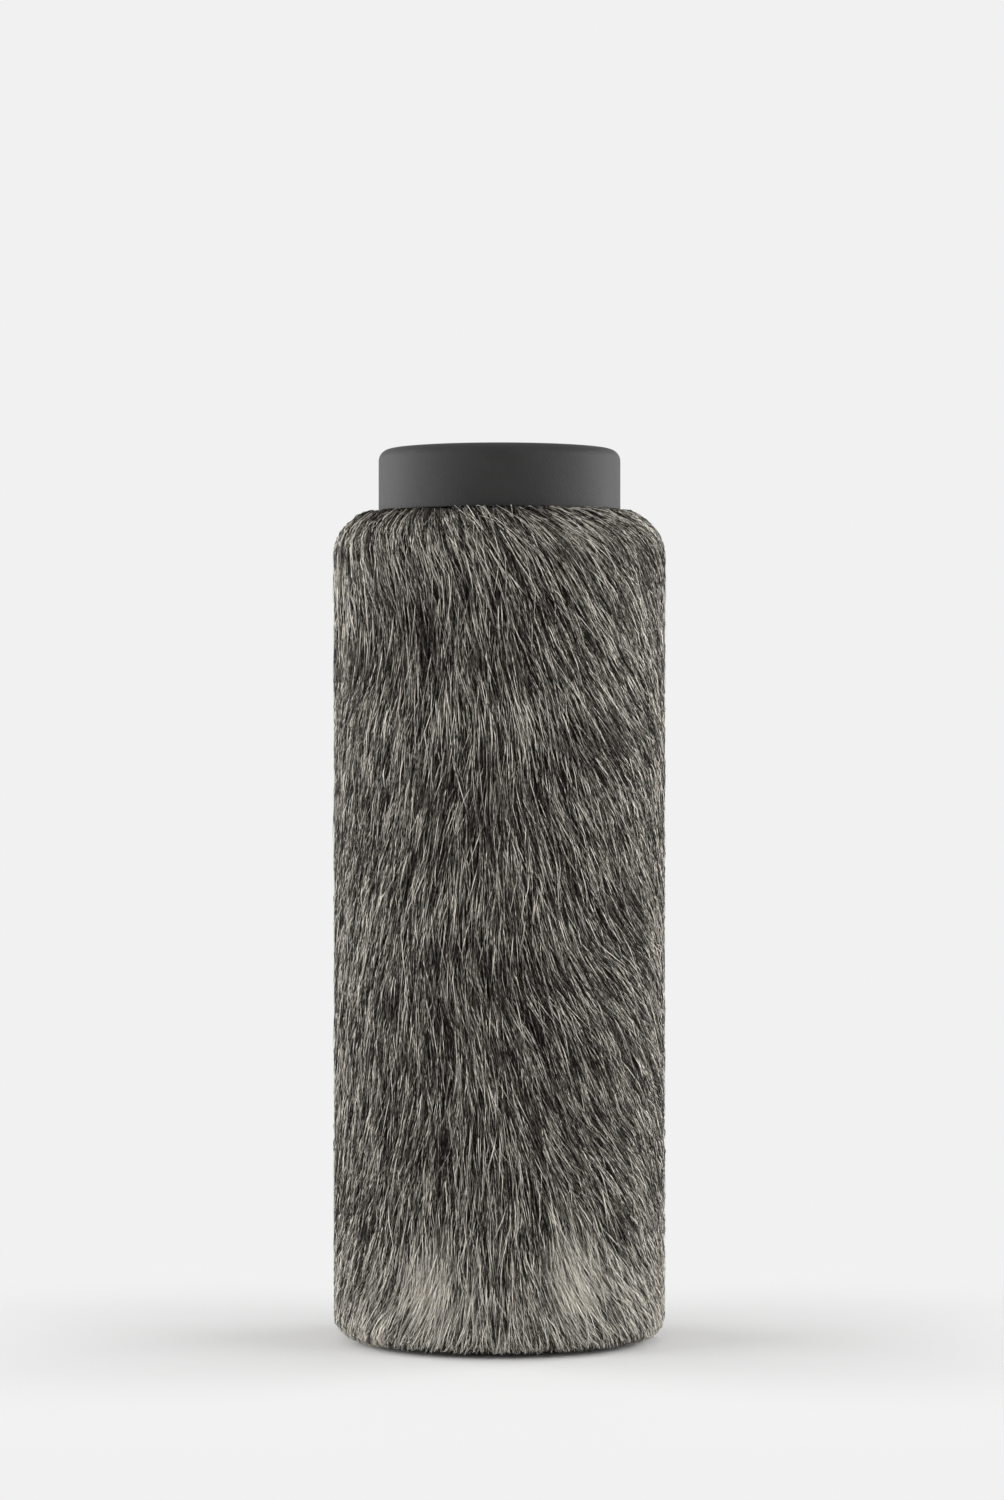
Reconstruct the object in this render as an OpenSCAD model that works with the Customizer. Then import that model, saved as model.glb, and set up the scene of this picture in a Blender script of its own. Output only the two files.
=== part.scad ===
// Slip-on furry windscreen for a shotgun microphone, standing on its closed nose.
// Z runs up the microphone bore, from the nose at Z = 0 to the rubber collar.
// The open-cell foam core fills a sewn sleeve of knitted fur cloth. The sleeve's hem is
// tied into the collar's groove, and a finned ring in the collar grips the microphone.

/* [Fur] */
// Diameter over the lying pile
fur_d = 86; // [84:1:110]
// Height of the furred part, from the nose to the collar
fur_len = 212; // [170:1:260]
// Thickness of the pile pressed under the nose
nose_pile = 8; // [6:0.5:12]
// Radius of the pile's edge round the nose
nose_round = 6; // [4:0.5:9]
// Radius of the pile's shoulder below the collar
shoulder_round = 11; // [8:0.5:12]

/* [Cloth] */
// Thickness of the knitted cloth that the pile grows from
cloth_t = 1; // [0.6:0.1:1.4]
// Depth of the seam allowance turned in round the nose
seam_ridge = 6; // [5:0.5:7]
// Width of the slit where the sleeve's long edges butt together
seam_slit = 0.3; // [0.2:0.05:0.6]
// Height of cloth left above the tie and bound with tape
hem_height = 4; // [3:0.5:4.5]
// Thickness of the binding tape
tape_t = 0.6; // [0.4:0.1:0.8]
// Diameter of the sewing thread
thread_d = 0.5; // [0.4:0.05:0.6]

/* [Foam] */
// Diameter of the foam core
foam_d = 54; // [52:1:56]
// Thickness of the foam disc that closes the nose
foam_nose_t = 16; // [12:1:24]
// Length of the disc's plug that closes the microphone bore
plug_len = 6; // [4:1:12]
// Diameter of that plug, which is wider than the bore
plug_d = 25; // [23:1:30]

/* [Microphone bore] */
// Diameter of the microphone that the windscreen slips over
mic_d = 19; // [16:0.5:21]
// Extra diameter of the spigot, so that only foam and rubber touch the microphone
spigot_play = 1; // [0.6:0.2:2]

/* [Spigot] */
// Length of the spigot's tube inside the foam
spigot_len = 28; // [16:1:40]
// Wall of the spigot's tube
spigot_wall = 2; // [1.4:0.2:2.4]
// Number of barbs round the tube
barb_count = 4; // [2:1:6]
// Height of a barb above the tube
barb_rise = 0.5; // [0.3:0.1:0.8]
// Diameter of the flange glued to the foam
flange_d = 42; // [36:1:46]
// Thickness of the flange
flange_t = 2.4; // [1.6:0.2:3.2]

/* [Collar] */
// Diameter of the collar's skirt
collar_d = 62; // [58:1:70]
// Height of the skirt above the fur
collar_rise = 16; // [12:1:24]
// Radius of the skirt's upper edge
lip_round = 3; // [1.5:0.5:4]
// Thickness of the rim below the hem groove
rim_t = 4; // [3:0.5:5]
// Height of the hem groove
groove_h = 14; // [14:0.5:18]
// Depth of the hem groove, from the rim
groove_depth = 3.4; // [3:0.1:4]
// Width of the shallow ring sunk in the collar's end face
face_ring_w = 6; // [4:0.5:7]
// Depth of that ring
face_ring_depth = 0.8; // [0.4:0.1:1.2]

/* [Grip ring] */
// Wall of the grip ring outside its fins
grip_wall = 2; // [1.6:0.1:2.6]
// Length of a fin, from the wall to the microphone
fin_len = 2.6; // [2:0.1:3.2]
// Number of fins
fin_count = 6; // [4:1:7]
// Thickness of a fin where it joins the wall
fin_root = 1.8; // [1.4:0.1:2.2]
// Thickness of a fin at its tip
fin_tip = 0.9; // [0.6:0.1:1.2]
// How far a fin's tip leans towards the nose
fin_lean = 1.1; // [0.6:0.1:1.4]
// Height and reach of the bead that snaps into the collar
bead = 1.6; // [1:0.2:2]
// How far the ring sits below the collar's end face
grip_sink = 2; // [1:0.5:3]

/* [Cable tie] */
// Width of the strap
strap_w = 4.8; // [3.6:0.2:5.2]
// Thickness of the strap
strap_t = 1.3; // [1:0.1:1.6]
// Side of the locking head
head_w = 7; // [6:0.5:7]
// Height of the locking head off the strap
head_rise = 3.6; // [3:0.2:4.4]
// Length of the trimmed tail beyond the head
tie_tail = 2.5; // [1:0.5:4]

/* [Hidden] */
$fn = 96;

// Clearance between layers that lie on each other
layer_gap = 0.1;
// Clearance between a thread or a strap and the cloth under it
thread_gap = 0.04;
// Room that the pile leaves round the cable tie's head
tie_room = 0.3;
// Height of the sleeve's pile above the floor
floor_gap = 0.3;
// Width of the pile's joint with the nose panel, inside the rounded edge
joint_w = 1;

// Radii, from the bore outwards
mic_r = mic_d / 2;
spigot_in_r = mic_r + spigot_play / 2;
spigot_out_r = spigot_in_r + spigot_wall;
barb_r = spigot_out_r + barb_rise;
flange_r = flange_d / 2;
plug_r = plug_d / 2;
grip_in_r = mic_r + fin_len;
grip_out_r = grip_in_r + grip_wall;
bead_r = grip_out_r + bead / 2;
foam_r = foam_d / 2;
cloth_in_r = foam_r + layer_gap;
cloth_out_r = cloth_in_r + cloth_t;
rim_r = foam_r;
groove_r = rim_r - groove_depth;
hem_tape_r = groove_r + layer_gap;
hem_in_r = hem_tape_r + tape_t + thread_gap;
hem_out_r = hem_in_r + cloth_t;
hem_tape_out_r = hem_out_r + thread_gap + tape_t;
strap_in_r = hem_out_r + thread_gap;
strap_out_r = strap_in_r + strap_t;
skirt_r = collar_d / 2;
fur_r = fur_d / 2;
nose_flat_r = fur_r - nose_round - joint_w;

// Heights, from the nose upwards
z_cloth = nose_pile;
z_foam = z_cloth + cloth_t + layer_gap;
z_core = z_foam + foam_nose_t;
z_plug = z_core + plug_len;
z_skirt = fur_len;
z_rim = z_skirt - groove_h - rim_t;
z_groove = z_rim + rim_t;
z_flange_top = z_rim + flange_t;
z_end = z_skirt + collar_rise;
z_hem = z_skirt - 2 * thread_gap - tape_t;
z_tie = z_groove + cloth_t + 2 * layer_gap + head_w / 2;
z_grip_low = z_flange_top + layer_gap;
z_grip_high = z_end - grip_sink;
z_bead = (z_grip_low + z_grip_high) / 2;

// The nose's seam ridge leans inwards at 45 degrees from the cloth's corner
ridge_cos = cos(45);
foam_bevel = (seam_ridge + layer_gap) / ridge_cos - (z_foam - z_cloth) - (cloth_out_r - foam_r);

fur_colour = [0.40, 0.39, 0.36];
cloth_colour = [0.16, 0.15, 0.15];
foam_colour = [0.24, 0.24, 0.25];
rubber_colour = [0.09, 0.09, 0.10];
nylon_colour = [0.13, 0.13, 0.14];
thread_colour = [0.30, 0.29, 0.28];

// Points of an arc about (r, z), from one angle to another
function arc(r, z, radius, from, to, steps = 8) =
    [for (i = [0:steps])
        let (a = from + (to - from) * i / steps)
        [r + radius * cos(a), z + radius * sin(a)]];

// A point of the nose seam: along the ridge from the cloth's corner, and off its middle
function ridge_point(along, off) =
    [cloth_out_r + (off - along) * ridge_cos, z_cloth + (off + along) * ridge_cos];

module ring(profile) {
    rotate_extrude() polygon(profile);
}

// One straight stitch lying along the tangent, at a radius and height, turned round Z
module tangent_stitch(r, z, turn, length) {
    rotate([0, 0, turn])
        translate([r, 0, z])
            rotate([90, 0, 0])
                cylinder(h = length, d = thread_d, center = true, $fn = 16);
}

// ---- Fur ----

// Pile of the sleeve: the space that the lying hairs fill between the cloth and the air
module fur_sleeve() {
    inner_low_r = cloth_out_r + layer_gap;
    inner_high_r = strap_out_r + layer_gap;
    z_top = z_skirt - layer_gap;
    z_neck = z_groove + cloth_t + 2 * layer_gap;
    color(fur_colour)
    difference() {
        ring(concat(
            [[inner_low_r, z_cloth], [nose_flat_r + layer_gap, floor_gap]],
            arc(fur_r - nose_round, floor_gap + nose_round, nose_round, -90, 0),
            arc(fur_r - shoulder_round, z_top - shoulder_round, shoulder_round, 0, 90),
            [[inner_high_r, z_top], [inner_high_r, z_neck], [inner_low_r, z_neck]]));
        seam_channel();
        tie_pocket();
    }
}

// The parting in the pile along the sleeve's seam
module seam_channel() {
    width = 5;
    depth = thread_d + 3 * layer_gap;
    translate([-width / 2, 0, z_cloth + seam_ridge])
        cube([width, cloth_out_r + depth, z_groove - z_cloth - seam_ridge]);
}

// Room in the pile for the cable tie's head and tail
module tie_pocket() {
    side = head_w + 2 * tie_room;
    translate([-side / 2, 0, z_tie - side / 2])
        cube([side + tie_tail, strap_out_r + head_rise + tie_room, side]);
}

// Pile of the round nose panel, pressed flat where the windscreen stands
module fur_nose() {
    color(fur_colour)
    ring([[0, 0], [nose_flat_r, 0], [cloth_out_r, z_cloth - layer_gap], [0, z_cloth - layer_gap]]);
}

// ---- Cloth and sewing ----

// Knitted tube, with its nose edge turned in as a seam ridge and its hem drawn into the groove
module sleeve_backing() {
    face = cloth_t + thread_gap;
    color(cloth_colour)
    difference() {
        ring([
            ridge_point(0, thread_gap),
            [cloth_out_r, z_groove + cloth_t],
            [hem_out_r, z_groove + cloth_t + layer_gap],
            [hem_out_r, z_hem],
            [hem_in_r, z_hem],
            [hem_in_r, z_groove + layer_gap],
            [cloth_in_r, z_groove + layer_gap],
            [cloth_in_r, ridge_point(face + cloth_t / ridge_cos, face)[1]],
            ridge_point(seam_ridge, face),
            ridge_point(seam_ridge, thread_gap)]);
        translate([-seam_slit / 2, 0, 0])
            cube([seam_slit, fur_r, z_skirt]);
    }
}

// Round knitted panel that closes the nose, with its rim turned in beside the sleeve's edge
module nose_backing() {
    face = cloth_t + thread_gap;
    color(cloth_colour)
    ring([
        [0, z_cloth],
        [cloth_out_r - 2 * thread_gap, z_cloth],
        ridge_point(seam_ridge, -thread_gap),
        ridge_point(seam_ridge, -face),
        [ridge_point(face + cloth_t / ridge_cos, -face)[0], z_cloth + cloth_t],
        [0, z_cloth + cloth_t]]);
}

// Zigzag stitches across the sleeve's butted edges
module side_seam_thread() {
    pitch = 3.2;
    length = 3;
    lean = 35;
    z_first = z_cloth + seam_ridge + pitch;
    count = floor((z_groove - pitch - z_first) / pitch);
    color(thread_colour)
    for (i = [0:count])
        translate([0, cloth_out_r + thread_d / 2 + thread_gap, z_first + i * pitch])
            rotate([0, i % 2 == 0 ? lean : -lean, 0])
                cylinder(h = length, d = thread_d, center = true, $fn = 16);
}

// Two rows of lock stitches, one on each face of the nose's seam ridge
module nose_seam_thread() {
    count = 36;
    length = 3;
    depth = seam_ridge * 2 / 3;
    off = thread_gap * 3 + cloth_t + thread_d / 2;
    color(thread_colour)
    for (side = [-1, 1], i = [0:count - 1])
        let (at = ridge_point(depth, side * off))
        tangent_stitch(at[0], at[1], (i + 0.5) * 360 / count, length);
}

// Running stitches through the hem's binding
module hem_thread() {
    count = 30;
    length = 3;
    color(thread_colour)
    for (i = [0:count - 1])
        tangent_stitch(hem_tape_out_r + thread_gap + thread_d / 2, z_hem - hem_height / 2,
                       (i + 0.5) * 360 / count, length);
}

// Tape folded over the sleeve's raw edge
module hem_binding() {
    z_fold = z_hem + thread_gap;
    z_leg = z_hem - hem_height;
    color(cloth_colour)
    ring([
        [hem_tape_r, z_leg], [hem_tape_r + tape_t, z_leg], [hem_tape_r + tape_t, z_fold],
        [hem_tape_out_r - tape_t, z_fold], [hem_tape_out_r - tape_t, z_leg],
        [hem_tape_out_r, z_leg], [hem_tape_out_r, z_fold + tape_t],
        [hem_tape_r, z_fold + tape_t]]);
}

// Cable tie that draws the hem into the collar's groove, its tail cut short
module cable_tie() {
    color(nylon_colour)
    union() {
        difference() {
            translate([0, 0, z_tie - strap_w / 2]) cylinder(h = strap_w, r = strap_out_r);
            translate([0, 0, z_tie - strap_w]) cylinder(h = 2 * strap_w, r = strap_in_r);
        }
        difference() {
            translate([-head_w / 2, strap_in_r, z_tie - head_w / 2])
                cube([head_w, strap_t + head_rise, head_w]);
            translate([0, 0, z_tie - head_w]) cylinder(h = 2 * head_w, r = strap_out_r - strap_t / 2);
        }
        translate([0, strap_out_r + (head_rise - strap_t) / 2, z_tie - strap_w / 2])
            cube([head_w / 2 + tie_tail, strap_t, strap_w]);
    }
}

// ---- Foam ----

// Open-cell foam tube, counterbored for the nose plug and for the spigot
module foam_core() {
    sink_r = barb_r + layer_gap;
    z_sink = z_rim - spigot_len - layer_gap;
    color(foam_colour)
    ring([
        [plug_r + layer_gap, z_core], [foam_r, z_core], [foam_r, z_rim - layer_gap],
        [sink_r, z_rim - layer_gap], [sink_r, z_sink], [mic_r, z_sink],
        [mic_r, z_plug + layer_gap], [plug_r + layer_gap, z_plug + layer_gap]]);
}

// Foam disc glued across the core's front end, with a plug that closes the bore
module foam_nose() {
    color(foam_colour)
    ring([
        [0, z_foam], [foam_r - foam_bevel, z_foam], [foam_r, z_foam + foam_bevel],
        [foam_r, z_core - layer_gap], [plug_r, z_core - layer_gap], [plug_r, z_plug],
        [0, z_plug]]);
}

// ---- Rear fitting ----

// Rigid tube with barbs in the foam and a flange trapped under the collar
module spigot() {
    barb_pitch = spigot_len / (barb_count + 1);
    barb_h = barb_pitch / 2;
    barbs = [for (i = [barb_count:-1:1], step = [0:2])
        let (z = z_rim - i * barb_pitch)
        step == 0 ? [spigot_out_r, z - barb_h / 2]
        : step == 1 ? [barb_r, z + barb_h / 2]
        : [spigot_out_r, z + barb_h / 2]];
    color(nylon_colour)
    ring(concat(
        [[spigot_in_r, z_rim - spigot_len], [spigot_out_r, z_rim - spigot_len]],
        barbs,
        [[spigot_out_r, z_rim], [flange_r, z_rim], [flange_r, z_flange_top],
         [spigot_in_r, z_flange_top]]));
}

// Moulded rubber collar: rim, hem groove and skirt outside, seats for the flange and the ring inside
module collar() {
    seat_r = flange_r + layer_gap;
    z_seat = z_flange_top + layer_gap;
    bore_r = grip_out_r + layer_gap;
    snap_r = bead_r + layer_gap;
    snap_h = bead + 2 * layer_gap;
    mouth_r = bore_r + grip_sink;
    ring_out_r = skirt_r - lip_round - 1;
    ring_in_r = ring_out_r - face_ring_w;
    color(rubber_colour)
    ring(concat(
        [[seat_r, z_rim], [rim_r, z_rim], [rim_r, z_groove], [groove_r, z_groove],
         [groove_r, z_skirt], [skirt_r, z_skirt]],
        arc(skirt_r - lip_round, z_end - lip_round, lip_round, 0, 90),
        [[ring_out_r, z_end], [ring_out_r - face_ring_depth, z_end - face_ring_depth],
         [ring_in_r + face_ring_depth, z_end - face_ring_depth], [ring_in_r, z_end],
         [mouth_r, z_end], [bore_r, z_grip_high],
         [bore_r, z_bead + snap_h / 2], [snap_r, z_bead + snap_h / 2],
         [snap_r, z_bead - snap_h / 2], [bore_r, z_bead - snap_h / 2],
         [bore_r, z_seat], [seat_r, z_seat]]));
}

// Soft ring whose leaning fins grip the microphone
module grip_ring() {
    margin = fin_root / 2 + fin_lean;
    pitch = (z_grip_high - z_grip_low - 2 * margin) / (fin_count - 1);
    fins = [for (i = [fin_count - 1:-1:0], corner = [0:3])
        let (z = z_grip_low + margin + i * pitch)
        corner == 0 ? [grip_in_r, z + fin_root / 2]
        : corner == 1 ? [mic_r, z - fin_lean + fin_tip]
        : corner == 2 ? [mic_r, z - fin_lean]
        : [grip_in_r, z - fin_root / 2]];
    color(rubber_colour)
    ring(concat(
        [[grip_in_r, z_grip_low], [grip_out_r, z_grip_low],
         [grip_out_r, z_bead - bead / 2]],
        arc(grip_out_r, z_bead, bead / 2, -90, 90),
        [[grip_out_r, z_bead + bead / 2], [grip_out_r, z_grip_high],
         [grip_in_r, z_grip_high]],
        fins));
}

fur_sleeve();
fur_nose();
sleeve_backing();
nose_backing();
side_seam_thread();
nose_seam_thread();
hem_thread();
hem_binding();
cable_tie();
foam_core();
foam_nose();
spigot();
collar();
grip_ring();
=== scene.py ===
"""Furry microphone windscreen: pile, foam, cloth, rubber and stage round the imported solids.

Lengths are in metres. Z runs up the microphone bore, from the nose to the collar. An angle
about Z is counted from the front, -Y, towards +X, and "down" is the way that the pile lies,
from the collar over the shoulder to the nose. A hair's "way" is how far along it a place is, from
0 at its root to 1 at its tip, and its tone runs from 0, dark, to 1, pale.
"""

import math

import bmesh
import bpy
import numpy as np
from bpy.props import (FloatProperty, FloatVectorProperty, IntProperty, PointerProperty)
from mathutils import Matrix, Vector, noise
from mathutils.kdtree import KDTree


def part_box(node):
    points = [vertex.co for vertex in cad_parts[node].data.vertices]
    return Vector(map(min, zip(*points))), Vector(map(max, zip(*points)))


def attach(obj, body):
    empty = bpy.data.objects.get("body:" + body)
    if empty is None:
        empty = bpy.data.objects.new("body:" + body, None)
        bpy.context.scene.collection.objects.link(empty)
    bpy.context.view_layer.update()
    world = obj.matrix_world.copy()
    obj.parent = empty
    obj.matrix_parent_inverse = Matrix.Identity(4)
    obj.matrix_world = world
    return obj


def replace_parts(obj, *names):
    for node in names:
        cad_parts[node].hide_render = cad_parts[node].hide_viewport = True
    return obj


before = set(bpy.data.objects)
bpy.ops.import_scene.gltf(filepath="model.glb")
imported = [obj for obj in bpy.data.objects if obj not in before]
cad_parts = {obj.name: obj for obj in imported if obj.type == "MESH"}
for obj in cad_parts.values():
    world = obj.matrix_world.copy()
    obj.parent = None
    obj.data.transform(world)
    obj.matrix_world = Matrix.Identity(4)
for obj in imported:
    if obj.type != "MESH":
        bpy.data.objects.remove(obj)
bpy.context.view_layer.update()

bl_info = {
    "name": "Furry Windscreen",
    "version": (1, 0, 0),
    "blender": (4, 5, 0),
    "location": "3D View > Sidebar > Windscreen",
    "description": "Dresses a furry microphone windscreen with its pile, foam, cloth and rubber",
    "category": "Object",
}

MM = 0.001
TURN = 2 * math.pi
BLACK, GREY = (0, 0, 0), (0.3, 0.3, 0.3)
# Where the solids stand
FUR_LOW, FUR_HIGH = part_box("fur_sleeve")
NOSE_LOW, NOSE_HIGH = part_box("fur_nose")
CLOTH_LOW, CLOTH_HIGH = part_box("sleeve_backing")
TAPE_LOW, TAPE_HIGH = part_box("hem_binding")
CORE_LOW, CORE_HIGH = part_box("foam_core")
PLUG_LOW, PLUG_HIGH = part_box("foam_nose")
SPIGOT_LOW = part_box("spigot")[0]
TIE_LOW, TIE_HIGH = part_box("cable_tie")

# The pile's surface: its shoulder and edge, where hairs start under the collar, where the
# innermost hairs of the sleeve are rooted under the nose, and how far in they may reach
SHOULDER = 11 * MM
EDGE = 6 * MM
COLLAR_START = 29.3 * MM
LAST_ROOTS = 33 * MM
REACH_IN = 14 * MM
# Just outside the collar the hairs swell up against it: how high, and the radii between which
# the swelling rises and falls
SWELL = 0.9 * MM
SWELL_RISE = (31 * MM, 32.2 * MM)
SWELL_FALL = (34 * MM, 38.5 * MM)
# A hair that starts or ends this near to either end of the surface turns a corner
SHOULDER_END = 20 * MM
EDGE_START = 28 * MM
# Under the collar the roots lie this deep, and they reach the usual depth this far down
COLLAR_ROOTS = 0.9 * MM
FULL_DEPTH = 9 * MM
# One more hair in so many starts within this distance of the collar, where none comes from above
COLLAR_EXTRA = 25
COLLAR_ZONE = 8 * MM
# No hair hangs lower than this, and none lies nearer to the pile's surface than that
FLOOR_GAP = 0.3 * MM
SKIN = 0.1 * MM
# The underfur: how far its skin lies above the roots, where it starts and how far it ends below
# the cable tie, the room at the back for the seam's stitches (half its width, and its depth) and
# for the tie's tail and head, and how far the nose's stays inside that panel
UNDERFUR_RISE = 0.4 * MM
UNDERFUR_START = 1 * MM
UNDER_TIE = 0.7 * MM
STITCH_ROOM = (2.5 * MM, 0.9 * MM)
TAIL_END, HEAD_END, HEAD_HEIGHT = -4.5 * MM, 7 * MM, 8 * MM
NOSE_RIM = 2 * MM
# Steps round, as shares of a turn, that spread locks and roots evenly
LOCK_STEP = 0.61803399
ROOT_STEP = 0.754877666
# Hair pieces round the sleeve, tones across the hair map, and that map's name
SECTORS = 12
TONES = 64
HAIR_MAP = "OFBake"
# The kinds of guard hair, dark, grey, pale and bright: each one's share of them, its tone, its
# width and length as shares of the usual ones, how far it dives among the others, and how much
# it strays from the combing
GUARD_KINDS = (
    (0.37, 0.06, 0.96, 1.0, 1.0, 0.11),
    (0.19, 0.55, 0.90, 1.0, 1.0, 0.10),
    (0.40, 0.88, 0.96, 1.0, 1.0, 0.13),
    (0.04, 1.15, 0.78, 1.15, 0.5, 0.15))
# How far hairs lean off straight down, in radians: everywhere, then more towards the right side,
# there again more at the front, and towards the left side. The collar and the nose each add an
# amount in the middle and one towards the sides. A slow wave and ripples come on top.
LEAN, LEAN_RIGHT, LEAN_FRONT, LEAN_LEFT = 0.09, 0.25, 0.55, 0.36
LEAN_COLLAR, LEAN_NOSE, LEAN_WAVE, LEAN_RIPPLES = (0.26, -0.24), (-0.10, 0.25), 0.09, 0.10
# The heights over which the combing turns to the collar's and to the nose's ways, and the top
# and the length of its slow wave between them
COLLAR_COMB = (160 * MM, 205 * MM)
NOSE_COMB = (6 * MM, 45 * MM)
WAVE_TOP, WAVE_LENGTH = 185 * MM, 110 * MM
# How far the tone changes: darker where the streaks sink the hairs, as painted shade, and paler
# where they stand higher; with patches, low down and in the tufts. The pile grows parler from the
# upper height to the lower. Near the nose it has two pale tufts, each at an angle and a height,
# which fade over an angle and a height.
STREAK_SHADE, TONE_PATCHES, TONE_LOW, TONE_TUFTS = 0.06, 0.05, 0.34, 0.90
PALE_RISE = (12 * MM, 52 * MM)
TUFTS = ((-0.39, 27 * MM), (0.41, 28 * MM))
TUFT_ANGLE, TUFT_HEIGHT = 0.15, 10 * MM
# The nose's wool and guard hairs: the hair's cuts, the spreads of its length and width as shares
# of the usual ones, its tone and how that varies, the spread of its tip's height in millimetres,
# and its taper
NOSE_WOOL = ((0.5,), (0.6, 1.3), (0.7, 1.2), (0.20, 0.20), (0.1, 1.0), ((0, 1), (1.0, 0)))
NOSE_GUARDS = ((0.35, 0.8), (0.7, 1.3), (0.7, 1.25), (0.88, 0.10), (0.0, 0.5),
               ((0, 0.35, 0.8, 1), (0.7, 1.0, 0.8, 0)))
# How high the nose's roots stand, its share of the sleeve's density, its shortest hair, and how
# far out, as a share of the sleeve's radius, its tips may reach
NOSE_ROOTS = 2.2 * MM
NOSE_DENSITY = 0.7
NOSE_SHORTEST = 2 * MM
NOSE_REACH = 0.92
# Clearance between two soft pieces
GAP = 0.1 * MM
# The foam: the microphone's tube, the plug, on whose radius the spigot's barb ends too, the slope
# round the nose, and its corners
MIC_D = 19 * MM
PLUG_R = 12.5 * MM
NOSE_SLOPE = 7.64 * MM
FOAM_CORNER = 0.8 * MM
# The cloth's wall and seams, the tape, and the thread. The seam round the nose slants inwards, and
# the side seam's zigzag ends below the cable tie.
CLOTH_T = 1 * MM
CLOTH_RADIUS = CORE_HIGH.x + GAP + CLOTH_T
CLOTH_BASE = NOSE_HIGH.z + GAP
CLOTH_CORNER = 0.4 * MM
SLANT = math.sqrt(0.5)
SEAM_RIDGE = 6 * MM
SEAM_SLIT = 0.3 * MM
PUCKER = 0.55 * MM
PUCKER_FALL = (205 * MM, 207 * MM)
WEAVE_MAP = "Weave"
TAPE_T = 0.6 * MM
THREAD_GAP = 0.04 * MM
THREAD_D = 0.5 * MM
STITCH = 3 * MM
STITCH_PARTS = 7
PLY_TURN = 4 * MM
SIDE_PITCH, SIDE_END, ZIGZAG = 3.2 * MM, 1.2 * MM, (125, 55)
NOSE_STITCHES, HEM_STITCHES, HEM_LINE = 36, 30, 2 * MM
# A disc's section starts this far from Z, so that no face there is without area
AXIS_HOLE = 0.5 * MM
# The floor fades into the backdrop between these distances from Z, the lamps aim at one point,
# and the camera stands this far right of the middle
NEAR_FLOOR, FAR_FLOOR = 0.09, 0.24
LAMPS_AIM = Vector((0, 0, 0.11))
CAMERA_X = 0.64 * MM


# ---- Sizes and colours that a user may change ----

def colour_setting(name, description, default):
    """A colour that a user may change."""
    return FloatVectorProperty(name=name, description=description, default=default,
                               min=0.0, max=1.0, subtype="COLOR")


def length_setting(name, description, default, low, high):
    """A length that a user may change, from low to high, all in millimetres."""
    return FloatProperty(name=name, description=description, default=default * MM,
                         min=low * MM, max=high * MM, unit="LENGTH")


def count_setting(name, description, default, low, high):
    """A number of things that a user may change, from low to high."""
    return IntProperty(name=name, description=description, default=default, min=low, max=high)


def stage_setting(name, description, default, unit="NONE"):
    """A measure of the stage that a user may change."""
    return FloatProperty(name=name, description=description, default=default, min=0.0, unit=unit)


class Step:
    """What every operator has: it can be undone, and redone with other settings."""
    bl_options = {"REGISTER", "UNDO"}


class PileSettings(bpy.types.PropertyGroup):
    """The pile of grey hairs"""
    guards: count_setting("Guard hairs", "Number of long hairs on the sleeve", 78000, 500, 90000)
    wool: count_setting(
        "Wool hairs", "Number of short fine hairs on the sleeve", 106000, 1000, 260000)
    guard_length: length_setting("Guard length", "Usual length of a guard hair", 17, 6, 40)
    wool_length: length_setting("Wool length", "Usual length of a wool hair", 11, 4, 30)
    guard_width: length_setting("Guard width", "Usual width of a guard hair", 0.24, 0.1, 0.6)
    wool_width: length_setting("Wool width", "Usual width of a wool hair's root", 0.32, 0.1, 0.6)
    depth: length_setting("Depth", "Depth of the roots below the pile's outer surface", 3.2, 1, 8)
    lock: length_setting("Lock", "Distance between the middles of two locks", 1.5, 0.5, 10)
    gather: FloatProperty(
        name="Gather", description="How far a lock draws its hairs' tips together",
        default=0.20, min=0.0, max=1.0, subtype="FACTOR")
    pale: colour_setting("Pale hairs", "Colour of the palest hairs", (0.95, 0.905, 0.815))
    grey: colour_setting("Grey hairs", "Colour of the middling hairs", (0.148, 0.134, 0.112))
    dark: colour_setting("Dark hairs", "Colour of the darkest hairs", (0.011, 0.0090, 0.0073))
    underfur: colour_setting(
        "Underfur", "Colour of the dense pile under the hairs", (0.024, 0.020, 0.017))
    seed: IntProperty(name="Seed", description="Start of the random draws", default=19)


class FoamSettings(bpy.types.PropertyGroup):
    """The open-cell foam"""
    colour: colour_setting("Foam", "Colour of the foam", (0.040, 0.040, 0.042))
    pore: length_setting("Pore", "Size of a pore", 0.7, 0.2, 3)


class ClothSettings(bpy.types.PropertyGroup):
    """The knitted cloth, its binding tape and its stitches"""
    cloth: colour_setting("Cloth", "Colour of the knitted cloth", (0.035, 0.033, 0.031))
    tape: colour_setting("Tape", "Colour of the binding tape", (0.022, 0.022, 0.023))
    thread: colour_setting("Thread", "Colour of the sewing thread", (0.10, 0.096, 0.09))
    wale: length_setting("Wale", "Width of a column of knitted loops", 0.9, 0.3, 3)
    gathers: count_setting("Gathers", "Number of puckers where the hem is drawn in", 34, 6, 80)


class TrimSettings(bpy.types.PropertyGroup):
    """The rubber and nylon parts"""
    collar: colour_setting("Collar", "Colour of the rubber collar", (0.0125, 0.0125, 0.012))
    grip: colour_setting("Grip ring", "Colour of the finned grip ring", (0.018, 0.018, 0.018))
    nylon: colour_setting("Nylon", "Colour of the spigot and the cable tie", (0.028, 0.028, 0.030))


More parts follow.
